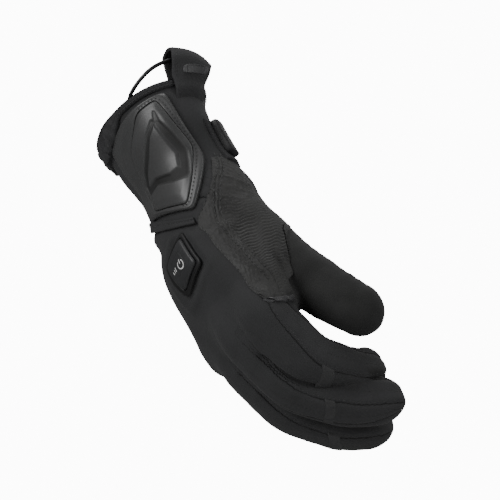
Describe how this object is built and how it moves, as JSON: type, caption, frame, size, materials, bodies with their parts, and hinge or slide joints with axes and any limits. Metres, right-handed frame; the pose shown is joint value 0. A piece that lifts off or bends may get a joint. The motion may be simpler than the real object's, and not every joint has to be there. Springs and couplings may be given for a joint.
{
  "type": "heated glove",
  "caption": "Padded winter glove with a moulded wrist cover, a heating button, a pull tab and a leash cord.",
  "frame": {"origin": "the middle of the cuff opening, in the plane of its bound edge, where the hand goes in", "axes": "+Z out of the cuff towards the elbow, +X to the thumb side, -Y to the back of the hand"},
  "size_m": [0.1062, 0.1002, 0.2395],
  "materials": {
    "softshell": "matt woven softshell cloth, padded",
    "suede": "fine ribbed suede-like grip cloth",
    "moulded": "smooth moulded cover with a satin gloss",
    "soft_rubber": "matt moulded rubber",
    "webbing": "fine woven tape",
    "elastic_cord": "glossy elastic cord"
  },
  "bodies": {
    "root": {"cuff_shell": "softshell", "hand_back": "softshell", "hand_palm": "suede", "index_stall": "softshell", "middle_stall": "softshell", "ring_stall": "softshell", "little_stall": "softshell", "thumb_stall": "suede", "rim_binding": "webbing", "wrist_band": "webbing", "guard_frame": "moulded", "guard_pad": "moulded", "button_bezel": "soft_rubber", "power_button": "soft_rubber", "side_panel": "suede", "side_hem": "soft_rubber", "index_flex_band": "soft_rubber", "middle_flex_band": "soft_rubber", "ring_flex_band": "soft_rubber", "little_flex_band": "soft_rubber", "wrist_strap": "webbing", "strap_tab": "soft_rubber", "pull_tab": "webbing", "tab_badge": "soft_rubber", "leash_cord": "elastic_cord"}
  },
  "joints": []
}
